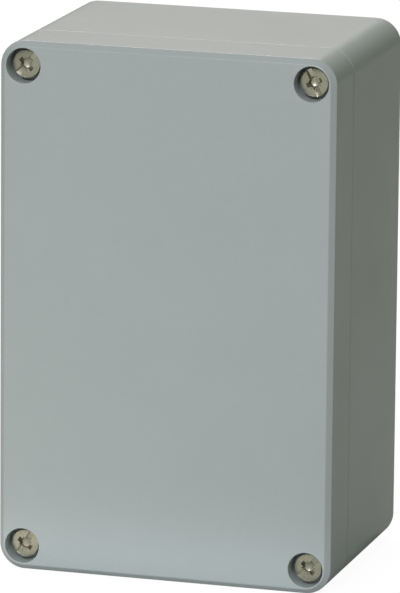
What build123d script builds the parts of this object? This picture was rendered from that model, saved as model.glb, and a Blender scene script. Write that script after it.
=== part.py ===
from build123d import *
import os
from math import radians, tan

# Die cast aluminium box that stands on its short end, with its cover towards -Y.
# Every piece is drawn as the box lies on its back: x across, y along, z up from the back
# plane to the cover's face. The last step stands each piece up, with the origin under the
# middle of the lower end. Sizes are in millimetres.

# Outside
WIDTH = 80.0
HEIGHT = 125.0
DEPTH = 57.0
COVER_DEPTH = 15.5
CORNER_RADIUS = 6.0
FACE_BEVEL = 1.25
BACK_CHAMFER = 0.6
PARTING_CHAMFER = 0.3

# Castings
FLOOR = 2.8
PLATE = 2.8
DRAFT_DEG = 0.5
FLOOR_CHAMFER = 1.5

# Seal: a tongue on the base pushes the gasket into a groove of the cover
LAND = 1.8
TONGUE_WIDTH = 1.2
TONGUE_HEIGHT = 2.0
SEAL_CLEARANCE = 0.3
GASKET_HEIGHT = 3.0
GASKET_FIT = 0.05
SKIRT = 1.4
SEAL_CORNER_RADIUS = 4.0

# Wall fixing: holes through the base's floor, reached through pockets outside the seal
WALL_INSET_X = 14.0
WALL_INSET_Y = 6.0
WALL_HOLE_DIAMETER = 4.5
WALL_POCKET_DIAMETER = 8.6
WALL_POCKET_FLOOR = 3.5

# Cover screws
SCREW_INSET = 5.75
SCREW_THREAD_DIAMETER = 3.9
SCREW_LENGTH = 17.5
SCREW_PITCH = 0.7
SCREW_TURNS = 10
NECK_DIAMETER = 3.0
TAPPED_FIT = 0.05
TAPPED_SPARE = 3.0
HEAD_DIAMETER = 6.6
HEAD_HEIGHT = 2.6
HEAD_CHAMFER = 0.2
HEAD_SINK = 2.3
HEAD_CLEARANCE = 0.8
SLOT_WIDTH = 1.4
SLOT_DEPTH = 1.1
CROSS_LENGTH = 4.0
CROSS_WIDTH = 1.2
CROSS_DEPTH = 1.8
CROSS_TAPER_DEG = 26.0
CROSS_CORE_DIAMETER = 2.6
CROSS_CORE_END = 0.8
SEAT_THICKNESS = 2.4
SEAT_HOLE_DIAMETER = 4.4
COUNTERBORE_CHAMFER = 0.2

# Turn of each screw's slot from the x axis, as the four stand after tightening
SLOT_TURN_DEG = {
    "top_left": 48.5,
    "top_right": -65.5,
    "bottom_left": 56.0,
    "bottom_right": 46.0,
}

# Retaining washers on the screws' necks
WASHER_DIAMETER = 6.0
WASHER_THICKNESS = 1.0
WASHER_FIT = 0.075
WASHER_POCKET_CLEARANCE = 0.4

# Recesses in the cover over the wall-fixing pockets
CORE_DIAMETER = 8.0
CORE_DEPTH = 8.0

# Inner bosses for a board or mounting plate, measured in from the outside of the box
BOSS_INSET_X = 13.0
BOSS_INSET_Y = 20.5
BOSS_DIAMETER = 7.0
BOSS_HEIGHT = 6.0
PILOT_DIAMETER = 3.3
PILOT_FLOOR = 1.8
GUSSET_THICKNESS = 1.6
GUSSET_DROP = 1.2

# Earth points, measured in from the lower end
EARTH_INSET = 10.5
EARTH_BOSS_DIAMETER = 9.0
EARTH_HOLE_FLOOR = 1.2
EARTH_HOLE_SPARE = 0.5
BASE_EARTH_SCREW_LENGTH = 8.0
COVER_EARTH_SCREW_LENGTH = 6.0
EARTH_HEAD_DIAMETER = 7.8
EARTH_HEAD_HEIGHT = 2.4
EARTH_HEAD_CHAMFER = 0.7
CUP_DIAMETER = 8.8
CUP_THICKNESS = 0.7
CUP_RIM = 0.7
SPRING_DIAMETER = 7.0
SPRING_THICKNESS = 0.9
SPRING_GAP = 0.7
EARTH_WASHER_CLEARANCE = 0.2

# Levels above the back plane
BASE_DEPTH = DEPTH - COVER_DEPTH
TONGUE_TOP = BASE_DEPTH + TONGUE_HEIGHT
GROOVE_BOTTOM = TONGUE_TOP + GASKET_HEIGHT
HEAD_SEAT = DEPTH - HEAD_SINK - HEAD_HEIGHT
SEAT_UNDERSIDE = HEAD_SEAT - SEAT_THICKNESS
SCREW_TRAVEL = SCREW_TURNS * SCREW_PITCH
TAPPED_DEPTH = SCREW_LENGTH - (HEAD_SEAT - BASE_DEPTH) + TAPPED_SPARE
WASHER_TOP = SEAT_UNDERSIDE - SCREW_TRAVEL
THREAD_START = WASHER_TOP - WASHER_THICKNESS

# Tolerance for finding a corner or an edge by its place
NEAR = 0.01

CORNERS = {
    "top_left": (-1, 1),
    "top_right": (1, 1),
    "bottom_left": (-1, -1),
    "bottom_right": (1, -1),
}

# Places of the corner features from the middle of the box
SCREW_X = WIDTH / 2 - SCREW_INSET
SCREW_Y = HEIGHT / 2 - SCREW_INSET
WALL_X = WIDTH / 2 - WALL_INSET_X
WALL_Y = HEIGHT / 2 - WALL_INSET_Y
BOSS_X = WIDTH / 2 - BOSS_INSET_X
BOSS_Y = HEIGHT / 2 - BOSS_INSET_Y
EARTH_AT = (0, EARTH_INSET - HEIGHT / 2)

UP = Plane.XY
DOWN = Plane(origin=(0, 0, 0), x_dir=(1, 0, 0), z_dir=(0, 0, -1))


def at(x, y, z, plane=UP):
    """Place on a level of the box, facing up or down."""
    return Pos(x, y, z) * plane.location


def tube_hole(diameter, low, high, x, y):
    """Round hole between two levels."""
    return Pos(x, y, low) * extrude(Circle(diameter / 2), amount=high - low)


def tapped_hole(x, y, mouth, depth, plane):
    """Blind threaded hole on a cored bore, cut into its mouth towards the plane's normal."""
    return at(x, y, mouth, plane) * extrude(Circle(SCREW_THREAD_DIAMETER / 2 + TAPPED_FIT), amount=depth)


def box_plan():
    """Outline of the box."""
    return RectangleRounded(WIDTH, HEIGHT, CORNER_RADIUS)


def corners_at(plan, x, y):
    """The four corners of a symmetric plan that lie at (x, y) and its mirror places."""
    return [v for v in plan.vertices() if abs(abs(v.X) - x) < NEAR and abs(abs(v.Y) - y) < NEAR]


def seal_plan(inset):
    """Outline of the sealed space, drawn in from the outer side of the tongue.

    It follows the walls and steps round each wall-fixing pocket, concentric with it.
    """
    step = WALL_POCKET_DIAMETER / 2 + LAND
    wide_x = WIDTH / 2 - LAND - inset
    long_y = HEIGHT / 2 - LAND - inset
    step_x = WALL_X - step - inset
    step_y = WALL_Y - step - inset
    plan = Rectangle(2 * wide_x, 2 * step_y) + Rectangle(2 * step_x, 2 * long_y)
    plan = fillet(corners_at(plan, step_x, step_y), step + inset)
    outward = corners_at(plan, wide_x, step_y) + corners_at(plan, step_x, long_y)
    return fillet(outward, SEAL_CORNER_RADIUS - inset)


def drafted(plan, start, end):
    """Solid on a plan that starts full size at one level and draws in towards the other."""
    side = UP if end > start else DOWN
    return Pos(0, 0, start) * extrude(side * plan, amount=abs(end - start), taper=DRAFT_DEG)


def boss(x, y, level, height, diameter, plane):
    """Round boss that stands on a floor."""
    return at(x, y, level, plane) * extrude(Circle(diameter / 2), amount=height)


def make_base():
    body = extrude(box_plan(), amount=BASE_DEPTH)
    body = chamfer(body.faces().sort_by(Axis.Z)[0].edges(), BACK_CHAMFER)
    body = chamfer(body.faces().sort_by(Axis.Z)[-1].edges(), PARTING_CHAMFER)
    tongue = seal_plan(0) - seal_plan(TONGUE_WIDTH)
    body += Pos(0, 0, BASE_DEPTH) * extrude(tongue, amount=TONGUE_HEIGHT)

    cavity = drafted(seal_plan(TONGUE_WIDTH), BASE_DEPTH, FLOOR)
    body -= chamfer(cavity.faces().sort_by(Axis.Z)[0].edges(), FLOOR_CHAMFER)
    earth_height = earth_boss_height(BASE_EARTH_SCREW_LENGTH, FLOOR)
    body += boss(*EARTH_AT, FLOOR, earth_height, EARTH_BOSS_DIAMETER, UP)
    body -= tapped_hole(*EARTH_AT, FLOOR + earth_height, earth_hole_depth(BASE_EARTH_SCREW_LENGTH), DOWN)

    boss_top = FLOOR + BOSS_HEIGHT
    wall_inside = WIDTH / 2 - LAND - TONGUE_WIDTH
    gusset_length = wall_inside - BOSS_X
    gusset = extrude(Rectangle(gusset_length, GUSSET_THICKNESS), amount=BOSS_HEIGHT - GUSSET_DROP)
    for side_x, side_y in CORNERS.values():
        boss_x = side_x * BOSS_X
        boss_y = side_y * BOSS_Y
        body += boss(boss_x, boss_y, FLOOR, BOSS_HEIGHT, BOSS_DIAMETER, UP)
        body += Pos(side_x * (BOSS_X + gusset_length / 2), boss_y, FLOOR) * gusset
        body -= tube_hole(PILOT_DIAMETER, PILOT_FLOOR, boss_top, boss_x, boss_y)

        wall_x = side_x * WALL_X
        wall_y = side_y * WALL_Y
        body -= tube_hole(WALL_POCKET_DIAMETER, WALL_POCKET_FLOOR, BASE_DEPTH, wall_x, wall_y)
        body -= tube_hole(WALL_HOLE_DIAMETER, 0, WALL_POCKET_FLOOR, wall_x, wall_y)
        body -= tapped_hole(side_x * SCREW_X, side_y * SCREW_Y, BASE_DEPTH, TAPPED_DEPTH, DOWN)
    return body


def make_cover():
    body = Pos(0, 0, BASE_DEPTH) * extrude(box_plan(), amount=COVER_DEPTH)
    body = chamfer(body.faces().sort_by(Axis.Z)[0].edges(), PARTING_CHAMFER)
    body = chamfer(body.faces().sort_by(Axis.Z)[-1].edges(), FACE_BEVEL)

    groove = seal_plan(-SEAL_CLEARANCE) - seal_plan(TONGUE_WIDTH + SEAL_CLEARANCE)
    body -= Pos(0, 0, BASE_DEPTH) * extrude(groove, amount=GROOVE_BOTTOM - BASE_DEPTH)
    ceiling = DEPTH - PLATE
    body -= drafted(seal_plan(TONGUE_WIDTH + SEAL_CLEARANCE + SKIRT), BASE_DEPTH, ceiling)
    earth_height = earth_boss_height(COVER_EARTH_SCREW_LENGTH, PLATE)
    body += boss(*EARTH_AT, ceiling, earth_height, EARTH_BOSS_DIAMETER, DOWN)
    body -= tapped_hole(*EARTH_AT, ceiling - earth_height, earth_hole_depth(COVER_EARTH_SCREW_LENGTH), UP)

    counterbore = HEAD_DIAMETER + 2 * HEAD_CLEARANCE
    washer_pocket = WASHER_DIAMETER + 2 * WASHER_POCKET_CLEARANCE
    for side_x, side_y in CORNERS.values():
        x = side_x * SCREW_X
        y = side_y * SCREW_Y
        body -= tube_hole(counterbore, HEAD_SEAT, DEPTH, x, y)
        body -= tube_hole(SEAT_HOLE_DIAMETER, SEAT_UNDERSIDE, HEAD_SEAT, x, y)
        body -= tube_hole(washer_pocket, BASE_DEPTH, SEAT_UNDERSIDE, x, y)
        core_top = BASE_DEPTH + CORE_DEPTH
        body -= tube_hole(CORE_DIAMETER, BASE_DEPTH, core_top, side_x * WALL_X, side_y * WALL_Y)
    face_circles = body.faces().sort_by(Axis.Z)[-1].edges().filter_by(GeomType.CIRCLE)
    mouths = [edge for edge in face_circles if abs(edge.radius - counterbore / 2) < NEAR]
    return chamfer(mouths, COUNTERBORE_CHAMFER)


def make_gasket():
    side = SEAL_CLEARANCE - GASKET_FIT
    ring = seal_plan(-side) - seal_plan(TONGUE_WIDTH + side)
    return Pos(0, 0, TONGUE_TOP) * extrude(ring, amount=GASKET_HEIGHT)


def cross_wing():
    """One wing of a cross recess, cut down from level 0."""
    draw_in = CROSS_DEPTH * tan(radians(CROSS_TAPER_DEG))
    half = CROSS_LENGTH / 2
    side = Polyline(
        (-half, 0), (half, 0), (half - draw_in, -CROSS_DEPTH), (draw_in - half, -CROSS_DEPTH), close=True
    )
    return extrude(Plane.XZ * make_face(side), amount=CROSS_WIDTH / 2, both=True)


def cross_recess():
    """Cross recess with its conical core, cut down from level 0."""
    stands = (Align.CENTER, Align.CENTER, Align.MIN)
    core = Cone(CROSS_CORE_END / 2, CROSS_CORE_DIAMETER / 2, CROSS_DEPTH, align=stands)
    return cross_wing() + Rot(0, 0, 90) * cross_wing() + Pos(0, 0, -CROSS_DEPTH) * core


def screw_head(diameter, height, bevel):
    """Low head that sits on level 0, with a bevelled rim and a cross recess."""
    head = extrude(Circle(diameter / 2), amount=height)
    head = chamfer(head.faces().sort_by(Axis.Z)[-1].edges(), bevel)
    return head - Pos(0, 0, height) * cross_recess()


def make_cover_screw():
    """Captive screw with its head's underside on level 0."""
    slot = extrude(Rectangle(2 * HEAD_DIAMETER, SLOT_WIDTH), amount=SLOT_DEPTH)
    head = screw_head(HEAD_DIAMETER, HEAD_HEIGHT, HEAD_CHAMFER) - Pos(0, 0, HEAD_HEIGHT - SLOT_DEPTH) * slot
    neck = NECK_DIAMETER / 2
    thread = SCREW_THREAD_DIAMETER / 2
    shoulder = THREAD_START - HEAD_SEAT
    shank = Polyline(
        (0, 0),
        (neck, 0),
        (neck, shoulder),
        (thread, shoulder),
        (thread, -SCREW_LENGTH),
        (0, -SCREW_LENGTH),
        close=True,
    )
    return head + revolve(Plane.XZ * make_face(shank), Axis.Z)


def make_retaining_washer():
    bore = NECK_DIAMETER / 2 + WASHER_FIT
    return extrude(Circle(WASHER_DIAMETER / 2) - Circle(bore), amount=WASHER_THICKNESS)


def earth_hole_depth(screw_length):
    """The earth screw's washers take up part of its length."""
    return screw_length - CUP_THICKNESS - SPRING_THICKNESS + EARTH_HOLE_SPARE


def earth_boss_height(screw_length, wall):
    """The boss and the wall it stands on keep some metal under the hole."""
    return earth_hole_depth(screw_length) + EARTH_HOLE_FLOOR - wall


def make_cup_washer():
    """Flat washer with a raised rim that keeps a wire under the screw."""
    bore = SCREW_THREAD_DIAMETER / 2 + EARTH_WASHER_CLEARANCE
    disc = extrude(Circle(CUP_DIAMETER / 2) - Circle(bore), amount=CUP_THICKNESS)
    rim = Circle(CUP_DIAMETER / 2) - Circle(CUP_DIAMETER / 2 - CUP_RIM)
    return disc + extrude(rim, amount=CUP_THICKNESS + CUP_RIM)


def make_spring_washer():
    """Split ring, pressed flat."""
    bore = SCREW_THREAD_DIAMETER / 2 + EARTH_WASHER_CLEARANCE
    ring = extrude(Circle(SPRING_DIAMETER / 2) - Circle(bore), amount=SPRING_THICKNESS)
    return ring - Pos(SPRING_DIAMETER / 2, 0, 0) * Box(SPRING_DIAMETER, SPRING_GAP, 4 * SPRING_THICKNESS)


def make_earth_screw(length):
    """Pan head screw with its head's underside on level 0."""
    head = screw_head(EARTH_HEAD_DIAMETER, EARTH_HEAD_HEIGHT, EARTH_HEAD_CHAMFER)
    return head + extrude(Circle(SCREW_THREAD_DIAMETER / 2), amount=-length)


def earth_set(prefix, boss_face, screw_length, plane):
    """Cup washer, spring washer and screw, stacked on an earth boss."""
    x, y = EARTH_AT
    cup_top = CUP_THICKNESS
    spring_top = cup_top + SPRING_THICKNESS
    stack = at(x, y, boss_face, plane)
    return {
        prefix + "_earth_cup_washer": stack * make_cup_washer(),
        prefix + "_earth_spring_washer": stack * Pos(0, 0, cup_top) * make_spring_washer(),
        prefix + "_earth_screw": stack * Pos(0, 0, spring_top) * make_earth_screw(screw_length),
    }


def make_parts():
    parts = {"base": make_base(), "cover": make_cover(), "gasket": make_gasket()}
    screw = make_cover_screw()
    washer = make_retaining_washer()
    for corner, (side_x, side_y) in CORNERS.items():
        place = Pos(side_x * SCREW_X, side_y * SCREW_Y, 0)
        turned = Rot(0, 0, SLOT_TURN_DEG[corner]) * screw
        parts["cover_screw_" + corner] = place * Pos(0, 0, HEAD_SEAT) * turned
        parts["retaining_washer_" + corner] = place * Pos(0, 0, THREAD_START) * washer
    base_boss_face = FLOOR + earth_boss_height(BASE_EARTH_SCREW_LENGTH, FLOOR)
    parts.update(earth_set("base", base_boss_face, BASE_EARTH_SCREW_LENGTH, UP))
    cover_boss_face = DEPTH - PLATE - earth_boss_height(COVER_EARTH_SCREW_LENGTH, PLATE)
    parts.update(earth_set("cover", cover_boss_face, COVER_EARTH_SCREW_LENGTH, DOWN))
    return parts


def main():
    os.makedirs("parts", exist_ok=True)
    standing = Plane(origin=(0, DEPTH / 2, HEIGHT / 2), x_dir=(1, 0, 0), z_dir=(0, -1, 0))
    for name, shape in make_parts().items():
        export_step(standing.location * shape, f"parts/{name}.step")


main()
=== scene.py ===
import math

import bmesh
import bpy
from mathutils import Matrix, Vector


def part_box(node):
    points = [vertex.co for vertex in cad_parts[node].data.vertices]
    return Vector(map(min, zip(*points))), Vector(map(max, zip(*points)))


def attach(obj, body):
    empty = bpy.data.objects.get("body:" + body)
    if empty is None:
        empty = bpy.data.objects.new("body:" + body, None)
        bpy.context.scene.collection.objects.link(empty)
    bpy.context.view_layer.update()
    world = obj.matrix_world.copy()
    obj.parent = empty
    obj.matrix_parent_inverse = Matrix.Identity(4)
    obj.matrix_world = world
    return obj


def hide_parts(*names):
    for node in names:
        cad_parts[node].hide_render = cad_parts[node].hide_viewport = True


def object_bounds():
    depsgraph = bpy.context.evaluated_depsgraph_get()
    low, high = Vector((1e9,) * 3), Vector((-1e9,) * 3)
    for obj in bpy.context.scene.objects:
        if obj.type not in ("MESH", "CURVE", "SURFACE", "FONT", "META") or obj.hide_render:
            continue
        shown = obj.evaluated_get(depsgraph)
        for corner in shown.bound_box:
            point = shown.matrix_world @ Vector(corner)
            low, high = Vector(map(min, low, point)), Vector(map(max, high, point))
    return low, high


bl_info = {
    "name": "Die cast aluminium box",
    "version": (1, 0, 0),
    "blender": (4, 5, 0),
    "location": "View3D > Sidebar > Die cast box",
    "description": "Dresses the packed model of a painted die cast box with a screwed cover",
    "category": "Add Mesh",
}

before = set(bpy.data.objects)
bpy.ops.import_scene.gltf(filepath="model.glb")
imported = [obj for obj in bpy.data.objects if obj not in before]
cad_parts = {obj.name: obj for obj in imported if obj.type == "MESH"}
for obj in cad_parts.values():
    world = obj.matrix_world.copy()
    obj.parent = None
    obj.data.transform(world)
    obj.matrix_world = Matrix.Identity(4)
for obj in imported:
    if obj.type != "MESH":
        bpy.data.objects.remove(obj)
CAD_LOW, CAD_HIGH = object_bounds()

# Every piece is drawn in millimetres as the box lies on its back: x across, y along, z up
# from the back plane to the cover's face. STAND turns a finished mesh upright, in metres.
MM = 0.001
BACK_PLANE = CAD_HIGH[1]
MID_HEIGHT = (CAD_LOW[2] + CAD_HIGH[2]) / 2
UPRIGHT = Matrix.Translation((0, BACK_PLANE, MID_HEIGHT)) @ Matrix.Rotation(math.radians(90), 4, "X")
STAND = UPRIGHT @ Matrix.Scale(MM, 4)

CORNERS = ("top_left", "top_right", "bottom_left", "bottom_right")
PAINT = "Grey powder coat"
WELD = 1e-4

# Lengths in millimetres: how far helper shapes run into or past a casting, the rounded mouths of
# plain and tapped holes, and how far a screw's shank reaches up into its head.
OVERLAP = 0.5
HOLE_FLARE = 0.25
TAP_FLARE = 0.4
SINK = 0.3

# Brightness of the glow that the camera sees on the floor, and its share beside the lit floor.
FLOOR_GLOW = 1.09
FLOOR_SHARE = 0.88


def lying_box(node):
    """Lowest and highest corner of a CAD node in millimetres, as the box lies on its back."""
    low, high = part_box(node)
    return (
        Vector((low[0], low[2] - MID_HEIGHT, BACK_PLANE - high[1])) / MM,
        Vector((high[0], high[2] - MID_HEIGHT, BACK_PLANE - low[1])) / MM,
    )


BASE_HIGH = lying_box("base")[1]
COVER_LOW, COVER_HIGH = lying_box("cover")
GASKET_LOW, GASKET_HIGH = lying_box("gasket")
SCREW_LOW, SCREW_HIGH = lying_box("cover_screw_top_right")
WASHER_LOW, WASHER_HIGH = lying_box("retaining_washer_top_right")
SCREW_X = (SCREW_LOW.x + SCREW_HIGH.x) / 2
SCREW_Y = (SCREW_LOW.y + SCREW_HIGH.y) / 2


def length(name, default, description):
    """A length in metres that a user may change."""
    return bpy.props.FloatProperty(
        name=name, description=description, default=default, min=0.0, unit="LENGTH", precision=5
    )


def angle(name, default, description):
    """An angle, given in degrees."""
    return bpy.props.FloatProperty(
        name=name, description=description, default=math.radians(default), subtype="ANGLE", unit="ROTATION"
    )


def colour(name, default, description):
    """A linear colour."""
    return bpy.props.FloatVectorProperty(
        name=name, description=description, default=default, min=0.0, max=1.0, size=3, subtype="COLOR"
    )


def amount(name, default, description):
    """A plain number."""
    return bpy.props.FloatProperty(name=name, description=description, default=default, min=0.0)


class CastingSizes(bpy.types.PropertyGroup):
    """Walls, edges and corner features of the two castings."""

    half_width: length("Half width", BASE_HIGH.x * MM, "From the middle of the box to its side")
    half_height: length("Half height", BASE_HIGH.y * MM, "From the middle of the box to its end")
    parting: length("Parting level", COVER_LOW.z * MM, "Height of the joint above the back plane")
    tongue_top: length("Tongue top", BASE_HIGH.z * MM, "Height of the sealing tongue above the back plane")
    face: length("Face level", COVER_HIGH.z * MM, "Height of the cover's face above the back plane")
    corner_radius: length("Corner radius", 6.0 * MM, "Outer corner of both castings, seen from the face")
    face_bevel: length("Face bevel", 1.25 * MM, "Bevel round the cover's face")
    bevel_radius: length("Bevel rounding", 0.45 * MM, "Rounding of the bevel's two edges")
    back_radius: length("Back radius", 0.7 * MM, "Rounding round the back")
    parting_radius: length("Parting radius", 0.42 * MM, "Rounding of both castings at the joint")
    edge_radius: length("Edge radius", 0.3 * MM, "Small rounding of cast edges")
    floor: length("Floor", 2.8 * MM, "Thickness of the base's floor")
    plate: length("Plate", 2.8 * MM, "Thickness of the cover's plate")
    root_radius: length("Root radius", 1.5 * MM, "Rounding where the base's walls meet its floor")
    cover_root: length("Cover root", 1.0 * MM, "Rounding where the cover's walls meet its plate")
    draft: angle("Draft", 0.5, "Taper of the cast hollows")
    land: length("Land", 1.8 * MM, "From the outside of the box to the tongue")
    tongue_width: length("Tongue width", 1.2 * MM, "Thickness of the sealing tongue")
    seal_gap: length("Seal gap", 0.3 * MM, "Between tongue and groove wall")
    groove_bottom: length("Groove bottom", GASKET_HIGH.z * MM, "Level of the groove's bottom")
    gasket_fit: length("Gasket fit", 0.05 * MM, "Between gasket and groove wall")
    gasket_edge: length("Gasket edge", 0.3 * MM, "Rounding of the gasket's edges")
    skirt: length("Skirt", 1.4 * MM, "Wall between groove and cover hollow")
    seal_corner: length("Seal corner", 4.0 * MM, "Corner of the sealing tongue")
    wall_x: length("Wall hole x", 26.0 * MM, "From the middle to a wall hole, across")
    wall_y: length("Wall hole y", 56.5 * MM, "From the middle to a wall hole, along")
    wall_hole: length("Wall hole", 2.25 * MM, "Radius of a wall hole")
    wall_pocket: length("Wall pocket", 4.3 * MM, "Radius of a wall-fixing pocket")
    wall_floor: length("Pocket floor", 3.5 * MM, "Metal under a wall-fixing pocket")
    core: length("Core", 4.0 * MM, "Radius of the cover's recess over a pocket")
    core_depth: length("Core depth", 8.0 * MM, "Depth of the cover's recess over a pocket")
    boss_x: length("Boss x", 27.0 * MM, "From the middle to an inner boss, across")
    boss_y: length("Boss y", 42.0 * MM, "From the middle to an inner boss, along")
    boss: length("Boss", 3.5 * MM, "Radius of an inner boss")
    boss_height: length("Boss height", 6.0 * MM, "Height of an inner boss above the floor")
    pilot: length("Pilot hole", 1.65 * MM, "Radius of the hole in an inner boss")
    pilot_floor: length("Pilot floor", 1.8 * MM, "Metal under the hole in an inner boss")
    gusset: length("Gusset", 1.6 * MM, "Thickness of the rib from boss to wall")
    gusset_drop: length("Gusset drop", 1.2 * MM, "From the boss's top to the rib's top")
    earth_boss: length("Earth boss", 4.5 * MM, "Radius of an earth boss")
    tapped: length("Tapped hole", 2.0 * MM, "Radius of a tapped hole")


class ScrewSizes(bpy.types.PropertyGroup):
    """Cover screws, earth screws and their washers."""

    head_height: length("Head height", 2.6 * MM, "Height of a cover screw's head")
    crown: length("Crown", 0.14 * MM, "Rise of the head's top")
    head_edge: length("Head edge", 0.16 * MM, "Rounding of a cover screw's rim")
    slot_width: length("Slot width", 1.4 * MM, "Width of the slot")
    slot_depth: length("Slot depth", 1.1 * MM, "Depth of the slot")
    slot_sweep: length("Slot sweep", 12.0 * MM, "Radius of the slot's hollow floor, along the slot")
    cross_length: length("Cross length", 4.0 * MM, "Length of a wing of the cross recess")
    cross_width: length("Cross width", 1.15 * MM, "Width of a wing of the cross recess")
    cross_depth: length("Cross depth", 1.8 * MM, "Depth of the cross recess")
    core: length("Recess core", 1.3 * MM, "Radius of the recess's round core at the head's top")
    core_end: length("Core end", 1.0 * MM, "Radius of the recess's round core at its bottom")
    cross_taper: angle("Cross taper", 26.0, "Lean of the wings' ends")
    core_cone: angle("Core cone", 24.0, "Slope of the conical bottom of the recess")
    neck: length("Neck", 1.5 * MM, "Radius of the reduced neck")
    thread: length("Thread", 1.95 * MM, "Outer radius of the thread")
    pitch: length("Pitch", 0.7 * MM, "Rise of the thread in one turn")
    seat_hole: length("Seat hole", 2.2 * MM, "Radius of the hole under a head")
    counterbore: length("Counterbore", 4.1 * MM, "Radius of the counterbore")
    mouth_radius: length("Mouth radius", 0.2 * MM, "Rounding of the counterbore's mouth")
    seat: length("Seat", 2.4 * MM, "Thickness of the seat under a head")
    washer_pocket: length("Washer pocket", 3.4 * MM, "Radius of the pocket under a seat")
    washer_bore: length("Washer bore", 1.575 * MM, "Radius of the hole in a retaining washer")
    washer_edge: length("Washer edge", 0.18 * MM, "Rounding of a retaining washer's edges")
    washer_gap: length("Washer gap", 0.03 * MM, "Left between a retaining washer and its seat")
    tapped_spare: length("Spare depth", 3.0 * MM, "Tapped hole below a cover screw's tip")
    earth_head: length("Earth head", 2.4 * MM, "Height of an earth screw's head")
    earth_crown: length("Earth crown", 0.5 * MM, "Rise of an earth screw's top")
    earth_edge: length("Earth edge", 0.6 * MM, "Rounding of an earth screw's rim")
    earth_turn: angle("Earth turn", 24.0, "Turn of the cross recess in the earth screws")
    earth_bore: length("Earth bore", 2.15 * MM, "Radius of the holes in the earth washers")
    earth_spare: length("Earth spare", 0.5 * MM, "Tapped hole beyond an earth screw's tip")
    cup_thickness: length("Cup thickness", 0.7 * MM, "Thickness of the cup washer's disc")
    spring_gap: length("Spring gap", 0.7 * MM, "Opening of the spring washer")
    slot_top_left: angle("Top left slot", 48.5, "Turn of the top left screw's slot")
    slot_top_right: angle("Top right slot", -65.5, "Turn of the top right screw's slot")
    slot_bottom_left: angle("Bottom left slot", 56.0, "Turn of the bottom left screw's slot")
    slot_bottom_right: angle("Bottom right slot", 46.0, "Turn of the bottom right screw's slot")


class FinishColours(bpy.types.PropertyGroup):
    """Colours of the finishes."""

    paint: colour("Paint", (0.376, 0.409, 0.402), "Grey coating on both castings")
    paint_dark: colour("Paint, thin", (0.336, 0.366, 0.360), "Coating where it is thin or dusty")
    aluminium: colour("Bare casting", (0.74, 0.74, 0.72), "Machined aluminium")
    steel: colour("Screw steel", (0.50, 0.48, 0.375), "Stainless steel of the screws")
    # Recess: painted shade, a dark brown that stands for the shade on the walls of a drive recess
    recess: colour("Recess", (0.06, 0.044, 0.025), "Dull metal inside a drive recess")
    zinc: colour("Zinc", (0.66, 0.67, 0.68), "Plating of the earth washers")
    rubber: colour("Seal", (0.055, 0.056, 0.058), "Moulded seal")
    nylon: colour("Nylon", (0.78, 0.77, 0.70), "Retaining washers")
    floor: colour("Floor", (0.5, 0.5, 0.49), "Floor, as the lamps see it")
    # Front floor: a painted pool of light on the floor in front of the box, whose lighter colour bounces
    # extra light onto the cover's foot
    floor_light_pool: colour("Front floor", (0.95, 0.94, 0.90), "Lighter floor close in front of the box")


class StageSettings(bpy.types.PropertyGroup):
    """Camera and lamps."""

    yaw: angle("Yaw", 16.764, "Camera's turn round the box")
    pitch: angle("Pitch", 12.758, "Camera's look downwards")
    roll: angle("Roll", -0.522, "Camera's tilt")
    focal_length: amount("Focal length", 380.8, "Focal length in millimetres on a 36 mm wide sensor")
    camera_x: bpy.props.FloatProperty(name="Camera x", description="Place of the camera", default=0.41167)
    camera_y: bpy.props.FloatProperty(name="Camera y", description="Place of the camera", default=-1.36695)
    camera_z: bpy.props.FloatProperty(name="Camera z", description="Place of the camera", default=0.38486)
    key_power: amount("Key power", 34.4, "Power of the front lamp in watts")
    top_power: amount("Top power", 12.2, "Power of the overhead lamp in watts")
    ambient: amount("Ambient", 0.172, "Strength of the world's even light")
    key_tint: colour("Key tint", (0.902, 0.92, 1.0), "Colour of the front lamp")
    top_tint: colour("Top tint", (1.0, 0.90, 0.92), "Colour of the overhead lamp")
    fill_power: amount("Fill power", 0.0018, "Power of the low fill in front of the box in watts")
    ambient_tint: colour("Ambient tint", (0.82, 1.0, 0.64), "Colour of the even light")


class Drawn:
    """Reads a group of settings for drawing: lengths in millimetres, the rest as it is."""

    def __init__(self, group):
        self.group = group

    def __getattr__(self, name):
        value = getattr(self.group, name)
        return value / MM if self.group.bl_rna.properties[name].unit == "LENGTH" else value


def castings():
    """Sizes of the castings, for drawing."""
    return Drawn(bpy.context.scene.casting_sizes)


def fasteners():
    """Sizes of the screws and washers, for drawing."""
    return Drawn(bpy.context.scene.screw_sizes)


# Outlines


def arc(centre_x, centre_y, radius, start, end, steps):
    """Points on an arc, with its angles in degrees."""
    turns = [math.radians(start + (end - start) * k / steps) for k in range(steps + 1)]
    return [(centre_x + radius * math.cos(t), centre_y + radius * math.sin(t)) for t in turns]


def four_ways(quarter):
    """Closed outline, counterclockwise, from its points in the first quarter."""
    second = [(-x, y) for x, y in reversed(quarter)]
    third = [(-x, -y) for x, y in quarter]
    fourth = [(x, -y) for x, y in reversed(quarter)]
    return quarter + second + third + fourth


def box_plan(inset):
    """Outline of the box, drawn in from its outside."""
    s = castings()
    r = s.corner_radius
    return four_ways(arc(s.half_width - r, s.half_height - r, r - inset, 0, 90, 14))


def seal_plan(inset):
    """Outline of the sealed space, drawn in from the outer side of the tongue.

    It steps round each wall-fixing pocket, concentric with it.
    """
    s = castings()
    around = s.wall_pocket + s.land + inset
    step_x = s.wall_x - around
    step_y = s.wall_y - around
    wide_x = s.half_width - s.land - inset
    long_y = s.half_height - s.land - inset
    outer = max(s.seal_corner - inset, s.edge_radius)
    quarter = arc(wide_x - outer, step_y - outer, outer, 0, 90, 8)
    quarter += arc(s.wall_x, s.wall_y, around, 270, 180, 14)
    quarter += arc(step_x - outer, long_y - outer, outer, 0, 90, 8)
    return four_ways(quarter)


def rounding(inset, level, radius, start, end, steps=5):
    """Profile points (inset, level) on a quarter round about a centre, angles in degrees."""
    points = arc(0, 0, radius, start, end, steps)
    return [(inset - x, level + y) for x, y in points]


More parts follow.
